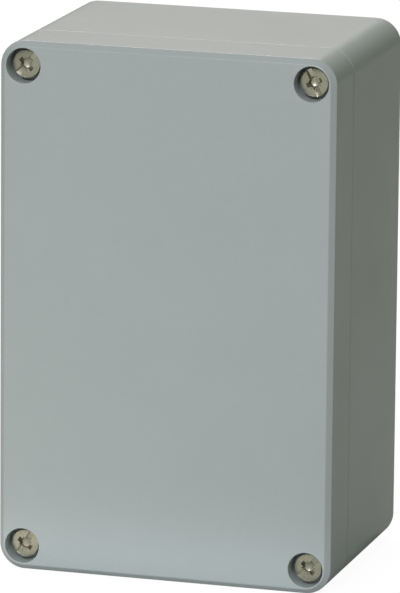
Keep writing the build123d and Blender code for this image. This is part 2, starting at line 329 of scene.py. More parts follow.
def softened_bevel(level, size, radius):
    """Profile of a bevel under a level, with both of its edges rounded."""
    run = radius * math.tan(math.radians(22.5))
    profile = rounding(radius, level - size - run, radius, 0, 45, 4)
    return profile + rounding(size + run, level - radius, radius, 45, 90, 4)


def rounded_section(near, far, low, high, edge):
    """Closed section with four rounded corners, from the far lower one upwards."""
    centres = (
        (far - edge, low + edge, -90),
        (far - edge, high - edge, 0),
        (near + edge, high - edge, 90),
        (near + edge, low + edge, 180),
    )
    return [point for x, y, start in centres for point in arc(x, y, edge, start, start + 90, 3)]


def round_top(radius, level, edge):
    """Profile points of a rounded upper rim."""
    return arc(radius - edge, level - edge, edge, 0, 90, 4)


# Meshes


def make_object(name, vertices, faces):
    """New object in the scene, with outward faces."""
    mesh = bpy.data.meshes.new(name)
    mesh.from_pydata(vertices, [], faces)
    work = bmesh.new()
    work.from_mesh(mesh)
    bmesh.ops.recalc_face_normals(work, faces=work.faces)
    work.to_mesh(mesh)
    work.free()
    piece = bpy.data.objects.new(name, mesh)
    bpy.context.scene.collection.objects.link(piece)
    return piece


def strip_faces(first, second, count):
    """Quads between two closed rows of vertices."""
    pairs = [(k, (k + 1) % count) for k in range(count)]
    return [(first + k, first + after, second + after, second + k) for k, after in pairs]


def loft(name, plan, profile, ring=False):
    """Closed solid on a plan, through (inset, level) points from the bottom up.

    For a ring, the points are its closed section.
    """
    outlines = [(plan(inset), level) for inset, level in profile]
    count = len(outlines[0][0])
    vertices = [(x, y, level) for outline, level in outlines for x, y in outline]
    rows = [k * count for k in range(len(outlines))]
    faces = []
    for first, second in zip(rows, rows[1:]):
        faces += strip_faces(first, second, count)
    if ring:
        faces += strip_faces(rows[-1], 0, count)
    else:
        faces.append(tuple(reversed(range(count))))
        faces.append(tuple(range(rows[-1], rows[-1] + count)))
    return make_object(name, vertices, faces)


def revolve(name, profile, steps=72, closed=False):
    """Body of revolution about z from (radius, level) points, from the axis back to the axis."""
    vertices = []
    rows = []
    for radius, level in profile:
        rows.append(len(vertices))
        if radius == 0:
            vertices.append((0, 0, level))
            continue
        vertices += [(x, y, level) for x, y in arc(0, 0, radius, 0, 360, steps)[:-1]]
    faces = []
    pairs = list(zip(range(len(rows)), range(1, len(rows))))
    if closed:
        pairs.append((len(rows) - 1, 0))
    for a, b in pairs:
        if profile[a][0] == 0:
            faces += [(rows[a], rows[b] + (k + 1) % steps, rows[b] + k) for k in range(steps)]
        elif profile[b][0] == 0:
            faces += [(rows[a] + k, rows[a] + (k + 1) % steps, rows[b]) for k in range(steps)]
        else:
            faces += strip_faces(rows[a], rows[b], steps)
    return make_object(name, vertices, faces)


def block(name, low, high, bevel=0.0):
    """Rectangular solid, with its edges rounded if asked."""
    piece = make_object(name, [], [])
    work = bmesh.new()
    bmesh.ops.create_cube(work, size=1.0)
    low, high = Vector(low), Vector(high)
    for vertex in work.verts:
        vertex.co = Vector([low[k] + (vertex.co[k] + 0.5) * (high[k] - low[k]) for k in range(3)])
    if bevel:
        bmesh.ops.bevel(work, geom=work.edges[:], offset=bevel, segments=3, affect="EDGES", profile=0.5)
    work.to_mesh(piece.data)
    work.free()
    return piece


def settle(piece):
    """Make the evaluated mesh the piece's own and drop its modifiers."""
    graph = bpy.context.evaluated_depsgraph_get()
    mesh = bpy.data.meshes.new_from_object(piece.evaluated_get(graph))
    old = piece.data
    piece.modifiers.clear()
    piece.data = mesh
    bpy.data.meshes.remove(old)
    piece.data.name = piece.name
    return piece


def drop(helper):
    """Remove a helper object."""
    mesh = helper.data
    bpy.data.objects.remove(helper)
    bpy.data.meshes.remove(mesh)


def weld(piece):
    """Merge the doubled points and drop the slivers that a cut leaves."""
    work = bmesh.new()
    work.from_mesh(piece.data)
    bmesh.ops.remove_doubles(work, verts=work.verts, dist=WELD)
    bmesh.ops.dissolve_degenerate(work, dist=WELD, edges=work.edges)
    work.to_mesh(piece.data)
    work.free()
    return piece


def carve(piece, tool, operation="DIFFERENCE"):
    """Exact boolean of two closed meshes. The tool is used up."""
    step = piece.modifiers.new("Carve", "BOOLEAN")
    step.operation = operation
    step.solver = "EXACT"
    step.object = tool
    settle(piece)
    drop(tool)
    return weld(piece)


def smooth(piece, sharp_angle=38.0):
    """Smooth shading that keeps flat faces flat and sharp edges sharp."""
    weld(piece)
    piece.data.shade_smooth()
    piece.data.set_sharp_from_angle(angle=math.radians(sharp_angle))
    weights = piece.modifiers.new("Weights", "WEIGHTED_NORMAL")
    weights.keep_sharp = True
    weights.mode = "FACE_AREA"
    weights.weight = 50
    return settle(piece)


def moved(piece, x, y):
    """Shift a helper's mesh."""
    piece.data.transform(Matrix.Translation((x, y, 0)))
    return piece


def turned(piece, degrees):
    """Turn a helper's mesh about z."""
    piece.data.transform(Matrix.Rotation(math.radians(degrees), 4, "Z"))
    return piece


def hand_over(piece, body, slot, *nodes):
    """Stand a finished piece up and let it take the place of its CAD nodes."""
    piece.data.transform(STAND)
    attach(piece, body)
    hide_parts(*nodes)
    return piece


# Node trees


class Nodes:
    """Adds nodes to a tree and joins them."""

    def __init__(self, tree):
        self.tree = tree

    def link(self, source, target):
        """Join two sockets."""
        self.tree.links.new(source, target)

    def add(self, kind, inputs=None, **settings):
        """New node. Each input is a value or the socket of another node."""
        node = self.tree.nodes.new(kind)
        for name, value in settings.items():
            setattr(node, name, value)
        for key, value in (inputs or {}).items():
            if isinstance(value, bpy.types.NodeSocket):
                self.link(value, node.inputs[key])
            else:
                node.inputs[key].default_value = value
        return node

    def math(self, operation, first, second=0.0, third=0.0):
        """Result of a Math node."""
        return self.add("ShaderNodeMath", {0: first, 1: second, 2: third}, operation=operation).outputs[0]

    def times(self, first, second):
        """Product of two values."""
        return self.math("MULTIPLY", first, second)

    def plus(self, first, second):
        """Sum of two values."""
        return self.math("ADD", first, second)

    def minus(self, first, second):
        """Difference of two values."""
        return self.math("SUBTRACT", first, second)

    def ramp(self, value, low, high, to_low=0.0, to_high=1.0):
        """A value mapped from one range to another, and held at its ends."""
        values = {0: value, 1: low, 2: high, 3: to_low, 4: to_high}
        return self.add("ShaderNodeMapRange", values).outputs[0]

    def blend(self, factor, first, second):
        """Mix of two colours."""
        return self.add("ShaderNodeMix", {0: factor, 6: first, 7: second}, data_type="RGBA").outputs[2]

    def parts(self, vector):
        """The x, y and z of a vector."""
        return self.add("ShaderNodeSeparateXYZ", {0: vector}).outputs

    def vector(self, values):
        """A vector from its parts, by number."""
        return self.add("ShaderNodeCombineXYZ", values).outputs[0]

    def length(self, vector):
        """Length of a vector."""
        return self.add("ShaderNodeVectorMath", {0: vector}, operation="LENGTH").outputs["Value"]

    def place(self):
        """Place on the piece, in its own coordinates."""
        return self.add("ShaderNodeTexCoord").outputs["Object"]

    def noise(self, vector, scale, detail, roughness=0.5):
        """Random pattern."""
        values = {"Vector": vector, "Scale": scale, "Detail": detail, "Roughness": roughness}
        return self.add("ShaderNodeTexNoise", values).outputs[0]


def new_tree(name, kind, inputs, outputs):
    """Node tree with named sockets. Returns (nodes, input sockets by name, output node)."""
    tree = bpy.data.node_groups.new(name, kind)
    for label, value_kind, default in inputs:
        socket_type = "NodeSocket" + value_kind
        socket = tree.interface.new_socket(name=label, in_out="INPUT", socket_type=socket_type)
        if default is not None:
            socket.default_value = default
    for label, value_kind in outputs:
        tree.interface.new_socket(name=label, in_out="OUTPUT", socket_type="NodeSocket" + value_kind)
    nodes = Nodes(tree)
    return nodes, nodes.add("NodeGroupInput").outputs, nodes.add("NodeGroupOutput")


def geometry_tree(name, inputs):
    """Geometry tree with these inputs between its geometry and its material."""
    sockets = [("Geometry", "Geometry", None)] + inputs + [("Material", "Material", None)]
    return new_tree(name, "GeometryNodeTree", sockets, [("Geometry", "Geometry")])


def end_tree(nodes, entry, leave, geometry):
    """Make copies real, set the material and give the result out."""
    real = nodes.add("GeometryNodeRealizeInstances", {0: geometry}).outputs[0]
    coated = nodes.add("GeometryNodeSetMaterial", {"Geometry": real, "Material": entry["Material"]})
    nodes.link(coated.outputs[0], leave.inputs[0])


def run_tree(piece, name, material, values):
    """Run a geometry tree on a piece with these input values and keep the plain mesh."""
    tree = bpy.data.node_groups[name]
    values["Material"] = bpy.data.materials[material]
    step = piece.modifiers.new(name, "NODES")
    step.node_group = tree
    for item in tree.interface.items_tree:
        if item.item_type == "SOCKET" and item.in_out == "INPUT" and item.name in values:
            step[item.identifier] = values[item.name]
    return settle(piece)


def mesh_of(nodes, socket):
    """The mesh of the object in a socket."""
    return nodes.add("GeometryNodeObjectInfo", {"Object": socket}).outputs["Geometry"]


def copies_on(nodes, points, shape, rotation):
    """Copies of an object's mesh on points."""
    values = {"Points": points, "Instance": mesh_of(nodes, shape), "Rotation": rotation}
    return nodes.add("GeometryNodeInstanceOnPoints", values).outputs[0]


def corner_tree(name, operation):
    """Geometry tree that adds or cuts one shape at four places, turned round on the left side."""
    inputs = [("Shape", "Object", None), ("Pitch X", "Float", 50.0), ("Pitch Y", "Float", 100.0)]
    nodes, entry, leave = geometry_tree(name, inputs)
    size = {"Size X": entry["Pitch X"], "Size Y": entry["Pitch Y"], "Vertices X": 2, "Vertices Y": 2}
    grid = nodes.add("GeometryNodeMeshGrid", size).outputs[0]
    across = nodes.parts(nodes.add("GeometryNodeInputPosition").outputs[0])[0]
    half_turn = nodes.times(nodes.math("LESS_THAN", across, 0.0), math.pi)
    copies = copies_on(nodes, grid, entry["Shape"], nodes.vector({2: half_turn}))
    real = nodes.add("GeometryNodeRealizeInstances", {0: copies}).outputs[0]
    joined = nodes.add("GeometryNodeMeshBoolean", operation=operation, solver="EXACT")
    nodes.link(entry["Geometry"], joined.inputs[0 if operation == "DIFFERENCE" else 1])
    nodes.link(real, joined.inputs[1])
    end_tree(nodes, entry, leave, joined.outputs[0])


def screw_tree(name):
    """Geometry tree that puts a threaded shank under a head and sets the screw in its place."""
    nodes, entry, leave = geometry_tree(
        name,
        [
            ("Head", "Object", None),
            ("Place", "Vector", None),
            ("Rotation", "Vector", None),
            ("Core Radius", "Float", 1.5),
            ("Thread Radius", "Float", 1.95),
            ("Pitch", "Float", 0.7),
            ("Neck Length", "Float", 0.0),
            ("Length", "Float", 17.5),
            ("Sink", "Float", 0.3),
            ("Rows", "Int", 180),
        ],
    )
    size = {"Size X": 1.0, "Size Y": 1.0, "Vertices X": 49, "Vertices Y": entry["Rows"]}
    grid = nodes.add("GeometryNodeMeshGrid", size).outputs[0]
    parts = nodes.parts(nodes.add("GeometryNodeInputPosition").outputs[0])
    around = nodes.plus(parts[0], 0.5)
    up = nodes.plus(parts[1], 0.5)
    whole = nodes.plus(entry["Length"], entry["Sink"])
    level = nodes.minus(nodes.times(up, whole), entry["Length"])

    turns = nodes.minus(nodes.math("DIVIDE", level, entry["Pitch"]), around)
    saw = nodes.minus(nodes.times(nodes.math("FRACT", turns), 2.0), 1.0)
    flat = 0.12
    tooth = nodes.ramp(nodes.minus(1.0, nodes.math("ABSOLUTE", saw)), flat, 1 - flat)
    below_neck = nodes.minus(nodes.times(level, -1.0), entry["Neck Length"])
    run_in = nodes.ramp(nodes.math("DIVIDE", below_neck, entry["Pitch"]), 0.0, 1.0)
    rise = nodes.minus(entry["Thread Radius"], entry["Core Radius"])
    radius = nodes.plus(entry["Core Radius"], nodes.times(nodes.times(tooth, run_in), rise))

    tip = nodes.times(entry["Core Radius"], 0.8)
    chamfer = nodes.plus(tip, nodes.plus(level, entry["Length"]))
    radius = nodes.math("MINIMUM", radius, chamfer)
    inside = nodes.times(nodes.math("GREATER_THAN", up, 1e-4), nodes.math("LESS_THAN", up, 0.9999))
    radius = nodes.times(radius, inside)
    turn = nodes.times(around, 2 * math.pi)
    x = nodes.times(radius, nodes.math("COSINE", turn))
    y = nodes.times(radius, nodes.math("SINE", turn))
    shank_point = nodes.vector({0: x, 1: y, 2: level})
    bent = nodes.add("GeometryNodeSetPosition", {"Geometry": grid, "Position": shank_point}).outputs[0]
    closed = nodes.add("GeometryNodeMergeByDistance", {"Geometry": bent, "Distance": WELD}).outputs[0]
    both = nodes.add("GeometryNodeJoinGeometry")
    nodes.link(mesh_of(nodes, entry["Head"]), both.inputs[0])
    nodes.link(closed, both.inputs[0])
    put = {"Geometry": both.outputs[0], "Translation": entry["Place"], "Rotation": entry["Rotation"]}
    end_tree(nodes, entry, leave, nodes.add("GeometryNodeTransform", put).outputs[0])


def placed_tree(name):
    """Geometry tree that puts a copy of one shape at a place, the same for each like piece."""
    inputs = [("Shape", "Object", None), ("Place", "Vector", None), ("Rotation", "Vector", None)]
    nodes, entry, leave = geometry_tree(name, inputs)
    point = nodes.add("GeometryNodeMeshLine", {"Count": 1, "Start Location": entry["Place"]}).outputs[0]
    end_tree(nodes, entry, leave, copies_on(nodes, point, entry["Shape"], entry["Rotation"]))


# Finishes


def coat_group():
    """Shader group: the skin of a powder coat, as height, speckle and slow clouding."""
    scales = [
        ("Peel Scale", "Float", 900.0),
        ("Grain Scale", "Float", 4200.0),
        ("Grain Share", "Float", 0.35),
    ]
    outputs = [("Height", "Float"), ("Speckle", "Float"), ("Cloud", "Float")]
    nodes, entry, leave = new_tree("Coat skin", "ShaderNodeTree", scales, outputs)
    spot = nodes.place()
    peel = nodes.noise(spot, entry["Peel Scale"], 2.0)
    grain = nodes.noise(spot, entry["Grain Scale"], 1.0)
    cloud = nodes.noise(spot, 38.0, 4.0, 0.6)
    nodes.link(nodes.plus(peel, nodes.times(grain, entry["Grain Share"])), leave.inputs["Height"])
    nodes.link(nodes.ramp(grain, 0.35, 0.65), leave.inputs["Speckle"])
    nodes.link(nodes.ramp(cloud, 0.3, 0.7), leave.inputs["Cloud"])


def metal_group():
    """Shader group: turned metal, as fine scratches and a tarnish mask."""
    scales = [("Scratch Scale", "Float", 2500.0), ("Tarnish Scale", "Float", 450.0)]
    outputs = [("Scratches", "Float"), ("Tarnish", "Float")]
    nodes, entry, leave = new_tree("Metal skin", "ShaderNodeTree", scales, outputs)
    spot = nodes.place()
    stretched = nodes.add("ShaderNodeMapping", {"Vector": spot, "Scale": (1.0, 0.15, 0.25)}).outputs[0]
    nodes.link(nodes.noise(stretched, entry["Scratch Scale"], 2.0), leave.inputs["Scratches"])
    tarnish = nodes.noise(spot, entry["Tarnish Scale"], 3.0)
    nodes.link(nodes.ramp(tarnish, 0.35, 0.7), leave.inputs["Tarnish"])


def group_outputs(nodes, name, values):
    """Place a shader group in a material and set its inputs by name."""
    return nodes.add("ShaderNodeGroup", values, node_tree=bpy.data.node_groups[name]).outputs


def new_material(name):
    """Material with an empty tree. Returns (nodes, shader, material output)."""
    material = bpy.data.materials.new(name)
    material.use_nodes = True
    material.node_tree.nodes.clear()
    nodes = Nodes(material.node_tree)
    shader = nodes.add("ShaderNodeBsdfPrincipled")
    return nodes, shader, nodes.add("ShaderNodeOutputMaterial", {0: shader.outputs[0]})


def rgba(tint, share=1.0):
    """A colour as four numbers, at a share of its brightness."""
    return (tint[0] * share, tint[1] * share, tint[2] * share, 1.0)


def skin_on(nodes, shader, mixed, rough, bump):
    """Feed a shader its colour, roughness and bump, given as (strength, distance in mm, height)."""
    strength, distance, height = bump
    values = {"Strength": strength, "Distance": distance * MM, "Height": height}
    nodes.link(mixed, shader.inputs["Base Color"])
    nodes.link(rough, shader.inputs["Roughness"])
    nodes.link(nodes.add("ShaderNodeBump", values).outputs[0], shader.inputs["Normal"])


def paint_material(colours):
    """Fine-textured grey powder coat."""
    nodes, shader, _ = new_material(PAINT)
    values = {"Peel Scale": 850.0, "Grain Scale": 4200.0, "Grain Share": 0.4}
    skin = group_outputs(nodes, "Coat skin", values)
    shade = nodes.math("MULTIPLY_ADD", skin["Cloud"], 0.3, nodes.times(skin["Speckle"], 0.28))
    mixed = nodes.blend(shade, rgba(colours.paint), rgba(colours.paint_dark))
    rough = nodes.math("MULTIPLY_ADD", skin["Cloud"], 0.08, 0.38)
    skin_on(nodes, shader, mixed, rough, (0.45, 0.12, skin["Height"]))


def metal_material(name, tint, dull, roughness, bump_strength):
    """Metal with scratches and tarnish, which is a share of its brightness."""
    nodes, shader, _ = new_material(name)
    skin = group_outputs(nodes, "Metal skin", {"Scratch Scale": 2600.0})
    mixed = nodes.blend(nodes.times(skin["Tarnish"], 0.45), rgba(tint), rgba(tint, dull))
    rough = nodes.math("MULTIPLY_ADD", skin["Scratches"], 0.18, roughness)
    skin_on(nodes, shader, mixed, rough, (bump_strength, 0.03, skin["Scratches"]))
    shader.inputs["Metallic"].default_value = 1.0
    return nodes, shader, mixed, rough


def cover_screw_material(colours):
    """Stainless steel with painted shade, dark brown, on the steep walls and in a ring round the core of
    the drive recess.
    """
    nodes, shader, mixed, rough = metal_material("Screw steel", colours.steel, 0.8, 0.2, 0.25)
    where = nodes.add("ShaderNodeTexCoord").outputs
    across, level, up = nodes.parts(where["Object"])
    middle = (SCREW_LOW + SCREW_HIGH) / 2 * MM
    aside = nodes.minus(nodes.math("ABSOLUTE", across), middle.x)
    above = nodes.minus(nodes.math("ABSOLUTE", nodes.minus(up, MID_HEIGHT)), middle.y)
    away = nodes.length(nodes.vector({0: aside, 1: above}))
    top = BACK_PLANE - SCREW_HIGH.z * MM
    facing = nodes.math("ABSOLUTE", nodes.parts(where["Normal"])[1])

    # Painted shade: the steep walls of the slot and recess turn dark brown and less metallic to stand for
    # the shade in the drive recess, and so does a ring round the core deeper than about a millimetre.
    sunk = nodes.ramp(level, top + 0.05 * MM, top + 0.3 * MM)
    steep = nodes.times(nodes.ramp(facing, 0.3, 0.8, 0.9, 0.0), sunk)
    walls = nodes.times(steep, nodes.math("LESS_THAN", away, (SCREW_HIGH.x - middle.x / MM - 0.2) * MM))
    deep = nodes.ramp(level, top + 0.9 * MM, top + 1.3 * MM)
    ring = nodes.times(nodes.ramp(away, 0.95 * MM, 1.1 * MM), nodes.ramp(away, 1.9 * MM, 1.6 * MM))
    painted_shade = nodes.math("MAXIMUM", walls, nodes.times(nodes.times(ring, 0.7), deep))
    core = nodes.times(nodes.ramp(away, 1.05 * MM, 0.95 * MM), deep)
    nodes.link(nodes.blend(painted_shade, mixed, rgba(colours.recess)), shader.inputs["Base Color"])
    nodes.link(nodes.math("MULTIPLY_ADD", painted_shade, -0.85, 1.0), shader.inputs["Metallic"])
    nodes.link(nodes.math("MULTIPLY_ADD", core, 0.14, rough), shader.inputs["Roughness"])


def soft_material(name, tint, roughness, scale, strength):
    """Moulded rubber or plastic with a faint skin."""
    nodes, shader, _ = new_material(name)
    skin = group_outputs(nodes, "Coat skin", {"Peel Scale": scale, "Grain Share": 0.6})
    mixed = nodes.blend(nodes.times(skin["Cloud"], 0.6), rgba(tint), rgba(tint, 0.8))
    rough = nodes.math("MULTIPLY_ADD", skin["Speckle"], 0.08, roughness)
    skin_on(nodes, shader, mixed, rough, (strength, 0.05, skin["Height"]))


def seen_rays(nodes):
    """Mask of the rays that show the white background."""
    light_path = nodes.add("ShaderNodeLightPath").outputs
    return nodes.math("MAXIMUM", light_path["Is Camera Ray"], light_path["Is Transmission Ray"])


class BOX_OT_finishes(bpy.types.Operator):
    """Make the node groups, the materials and the geometry trees"""

    bl_idname = "diecast_box.finishes"
    bl_label = "Finishes"
    bl_options = {"REGISTER", "UNDO"}

    def execute(self, context):
        colours = context.scene.finish_colours
        coat_group()
        metal_group()
        paint_material(colours)
        cover_screw_material(colours)
        metal_material("Bare aluminium", colours.aluminium, 0.85, 0.3, 0.35)
        metal_material("Earth screw steel", colours.steel, 0.8, 0.22, 0.25)
        metal_material("Zinc plate", colours.zinc, 0.8, 0.28, 0.3)
        soft_material("Seal rubber", colours.rubber, 0.62, 2200.0, 0.3)
        soft_material("Nylon", colours.nylon, 0.38, 1200.0, 0.15)
        corner_tree("Corner bosses", "UNION")
        corner_tree("Corner holes", "DIFFERENCE")
        screw_tree("Screw")
        placed_tree("Placed copy")
        return {"FINISHED"}


# Castings


def corner_step(piece, tree_name, shape, half_x, half_y):
    """Add or cut a shape at the four corners of a casting."""
    values = {"Shape": shape, "Pitch X": 2 * half_x, "Pitch Y": 2 * half_y}
    run_tree(piece, tree_name, PAINT, values)
    drop(shape)
    return weld(piece)


def earth_levels(prefix):
    """Place of an earth point: (x, y, boss face, hole depth), all lying."""
    cup_low, cup_high = lying_box(prefix + "_earth_cup_washer")
    screw_low, screw_high = lying_box(prefix + "_earth_screw")
    middle = (cup_low + cup_high) / 2
    spare = fasteners().earth_spare
    if prefix == "base":
        return middle.x, middle.y, cup_low.z, cup_low.z - screw_low.z + spare
    return middle.x, middle.y, cup_high.z, screw_high.z - cup_high.z + spare


def flared_cutter(name, radius, low, high, flare, at_low=False):
    """Round cutter whose mouth end is widened by a quarter round."""
    turns = (0, 0.4, 0.8, 1.2, math.pi / 2)
    rim = [(radius + flare - flare * math.cos(t), flare * math.sin(t)) for t in turns]
    if at_low:
        mouth = [(r, low + flare - z) for r, z in rim]
        profile = [(0, low - flare), (radius + flare, low - flare)] + mouth[::-1]
        profile += [(radius, high), (0, high)]
    else:
        mouth = [(r, high - flare + z) for r, z in rim]
        profile = [(0, low), (radius, low)] + mouth
        profile += [(radius + flare, high + flare), (0, high + flare)]
    return revolve(name, profile)


def bare_faces(piece, drums):
    """Bare metal on the faces whose middle lies in one of the (x, y, radius, low, high) drums."""
    piece.data.materials.append(bpy.data.materials["Bare aluminium"])
    for face in piece.data.polygons:
        for x, y, radius, low, high in drums:
            near = math.hypot(face.center.x - x, face.center.y - y) < radius
            if near and low < face.center.z < high:
                face.material_index = 1


class BOX_OT_base(bpy.types.Operator):
    """Cast base with its tongue, hollow, bosses, pockets and tapped holes"""

    bl_idname = "diecast_box.base"
    bl_label = "Base casting"
    bl_options = {"REGISTER", "UNDO"}

    def execute(self, context):
        s = castings()
        e = s.edge_radius
        profile = rounding(s.back_radius, s.back_radius, s.back_radius, 270, 360)
        profile += rounding(s.parting_radius, s.parting - s.parting_radius, s.parting_radius, 0, 90)
        base = loft("base_casting", box_plan, profile)
        tongue = [(0, s.parting - 4 * OVERLAP)] + rounding(e, s.tongue_top - e, e, 0, 90)
        carve(base, loft("tongue", seal_plan, tongue), "UNION")

        lean = (s.tongue_top - s.floor) * math.tan(s.draft)
        foot = s.tongue_width + lean
        r = s.root_radius
        hollow = rounding(foot + r, s.floor + r, r, 270, 360)
        hollow += rounding(s.tongue_width - e, s.tongue_top - e, e, 180, 90)
        hollow.append((s.tongue_width - e, s.tongue_top + e))
        carve(base, loft("hollow", seal_plan, hollow))

        top = s.floor + s.boss_height
        sunk = s.floor - OVERLAP
        reach = s.half_width - s.land - s.tongue_width - s.boss_x + OVERLAP
        rib = block("rib", (0, -s.gusset / 2, sunk), (reach, s.gusset / 2, top - s.gusset_drop), 0.2)
        pillar = revolve("pillar", [(0, sunk), (s.boss, sunk)] + round_top(s.boss, top, e) + [(0, top)])
        carve(pillar, rib, "UNION")
        corner_step(base, "Corner bosses", pillar, s.boss_x, s.boss_y)
        pilot = flared_cutter("pilot", s.pilot, s.pilot_floor, top, HOLE_FLARE)
        corner_step(base, "Corner holes", pilot, s.boss_x, s.boss_y)

        x, y, face, depth = earth_levels("base")
        rim = round_top(s.earth_boss, face, e)
        earth = revolve("earth", [(0, sunk), (s.earth_boss, sunk)] + rim + [(0, face)])
        carve(base, moved(earth, x, y), "UNION")
        carve(base, moved(flared_cutter("tapped", s.tapped, face - depth, face, e), x, y))

        pocket = flared_cutter("pocket", s.wall_pocket, s.wall_floor, s.parting, s.parting_radius)
        corner_step(base, "Corner holes", pocket, s.wall_x, s.wall_y)
        high = s.wall_floor + 2 * OVERLAP
        through = flared_cutter("through", s.wall_hole, 0, high, HOLE_FLARE, at_low=True)
        corner_step(base, "Corner holes", through, s.wall_x, s.wall_y)
        bottom = SCREW_LOW.z - fasteners().tapped_spare
        tapped = flared_cutter("tapped", s.tapped, bottom, s.parting, TAP_FLARE)
        corner_step(base, "Corner holes", tapped, SCREW_X, SCREW_Y)

        bare = [(x, y, s.earth_boss * 0.99, 0, face + 0.01)]
        for side_x, side_y in ((1, 1), (-1, 1), (1, -1), (-1, -1)):
            bare.append((side_x * SCREW_X, side_y * SCREW_Y, s.tapped + 0.45, 0, s.parting - 0.01))
        smooth(base)
        bare_faces(base, bare)
        hand_over(base, "base", "painted_casting", "base")
        return {"FINISHED"}


class BOX_OT_cover(bpy.types.Operator):
    """Cast cover with its counterbores, groove, hollow and recesses"""

    bl_idname = "diecast_box.cover"
    bl_label = "Cover casting"
    bl_options = {"REGISTER", "UNDO"}

    def execute(self, context):
        s = castings()
        screws = fasteners()
        e = s.edge_radius
        profile = rounding(s.parting_radius, s.parting + s.parting_radius, s.parting_radius, 270, 360)
        profile += softened_bevel(s.face, s.face_bevel, s.bevel_radius)
        cover = loft("cover_casting", box_plan, profile)

        outer = -s.seal_gap
        inner = s.tongue_width + s.seal_gap
        below = s.parting - 2 * OVERLAP
        side = [(-e, below), (-e, s.parting), (0, s.parting + e), (0, s.groove_bottom)]
        section = [(outer + inset, level) for inset, level in side]
        section += [(inner - inset, level) for inset, level in reversed(side)]
        carve(cover, loft("groove", seal_plan, section, ring=True))

        ceiling = s.face - s.plate
        wall = inner + s.skirt
        lean = (ceiling - s.parting) * math.tan(s.draft)
        r = s.cover_root
        hollow = [(wall - e, below), (wall - e, s.parting), (wall, s.parting + e)]
        hollow += rounding(wall + lean + r, ceiling - r, r, 0, 90)
        carve(cover, loft("hollow", seal_plan, hollow))

        core = flared_cutter("core", s.core, s.parting, s.parting + s.core_depth, e, at_low=True)
        corner_step(cover, "Corner holes", core, s.wall_x, s.wall_y)
        corner_step(cover, "Corner holes", screw_cutter(s, screws), SCREW_X, SCREW_Y)

        x, y, face, depth = earth_levels("cover")
        sunk = ceiling + OVERLAP
        rim = [(r, face - (z - face)) for r, z in reversed(round_top(s.earth_boss, face, e))]
        earth = revolve("earth", [(0, face)] + rim + [(s.earth_boss, sunk), (0, sunk)])
        carve(cover, moved(earth, x, y), "UNION")
        hole = flared_cutter("tapped", s.tapped, face, face + depth, e, at_low=True)
        carve(cover, moved(hole, x, y))
        smooth(cover)
        cover.data.materials.clear()
        cover.data.materials.append(bpy.data.materials[PAINT])
        bare_faces(cover, [(x, y, s.earth_boss * 0.99, face - 0.01, s.face - 1)])
        hand_over(cover, "cover", "painted_casting", "cover")
        return {"FINISHED"}


def screw_cutter(s, screws):
    """One turned cutter for a washer pocket, a seat hole and a counterbore."""
    low_rim = 0.3
    corner = 0.25
    mouth = screws.mouth_radius
    bore = screws.counterbore
    pocket = screws.washer_pocket
    seat_top = SCREW_HIGH.z - screws.head_height
    seat_low = seat_top - screws.seat
    profile = [(0, s.parting - 1), (pocket + low_rim, s.parting - 1)]
    profile += [(pocket + low_rim, s.parting), (pocket, s.parting + low_rim)]
    profile += [(pocket, seat_low), (screws.seat_hole, seat_low), (screws.seat_hole, seat_top)]
    profile += [(bore - corner, seat_top), (bore, seat_top + corner)]
    profile += rounding(bore + mouth, s.face - mouth, mouth, 0, 90, 6)
    profile += [(bore + mouth, s.face + 1), (0, s.face + 1)]
    return revolve("screw_way", profile, 96)


class BOX_OT_seal(bpy.types.Operator):
    """Moulded gasket, pressed by the tongue"""

    bl_idname = "diecast_box.seal"
    bl_label = "Gasket"
    bl_options = {"REGISTER", "UNDO"}

    def execute(self, context):
        s = castings()
        outer = -s.seal_gap + s.gasket_fit
        inner = s.tongue_width + s.seal_gap - s.gasket_fit
        section = rounded_section(outer, inner, GASKET_LOW.z, GASKET_HIGH.z, s.gasket_edge)
        gasket = loft("gasket_ring", seal_plan, section[::-1], ring=True)
        gasket.data.materials.append(bpy.data.materials["Seal rubber"])
        smooth(gasket, 50)
        hand_over(gasket, "cover", "seal", "gasket")
        return {"FINISHED"}


# Screws and washers


def wedge(half_top, half_low, half_width, low, top):
    """Upright wedge that narrows downwards."""
    narrow = half_width * 0.8
    vertices = []
    for x, y, z in ((half_low, narrow, low), (half_top, half_width, top)):
        vertices += [(-x, -y, z), (x, -y, z), (x, y, z), (-x, y, z)]
    return make_object("wedge", vertices, [(3, 2, 1, 0), (4, 5, 6, 7)] + strip_faces(0, 4, 4))


def crossed(head, screws, height):
    """Cut the cross recess, its conical core and its small tick marks into a head."""
    half = screws.cross_length / 2
    draw_in = screws.cross_depth * math.tan(screws.cross_taper)
    above = 0.4
    tick = 0.07
    tick_reach = half * 0.82
    low = height - screws.cross_depth
    wing_floor = low + screws.core_end * math.tan(screws.core_cone)
    half_top = half + above * math.tan(screws.cross_taper)
    for turn in (0, 90):
        wing = wedge(half_top, half - draw_in, screws.cross_width / 2, wing_floor, height + above)
        carve(head, turned(wing, turn))
    lean = (screws.core - screws.core_end) / screws.cross_depth
    core = [(0, low), (screws.core_end, wing_floor), (screws.core, height)]
    core += [(screws.core + above * lean, height + above), (0, height + above)]
    carve(head, revolve("core", core, 48))
    for turn in (45, 135):
        low_end, high_end = (-tick_reach, -tick, height - 0.5), (tick_reach, tick, height + above)
        carve(head, turned(block("tick", low_end, high_end), turn))


def slot_cutter(screws, height, reach):
    """Cutter for a slot whose floor is hollow along its length, as a disc mills it."""
    half = screws.slot_width / 2
    sweep = screws.slot_sweep
    steps = 24
    floor = height - screws.slot_depth
    across = [reach * (2 * k / steps - 1) for k in range(steps + 1)]
    side = [(x, floor + sweep - math.sqrt(sweep ** 2 - x ** 2)) for x in across]
    side += [(reach, height + 1), (-reach, height + 1)]
    count = len(side)
    vertices = [(x, y, z) for y in (-half, half) for x, z in side]
    faces = strip_faces(0, count, count) + [tuple(range(count)), tuple(reversed(range(count, 2 * count)))]
    return make_object("slot", vertices, faces)


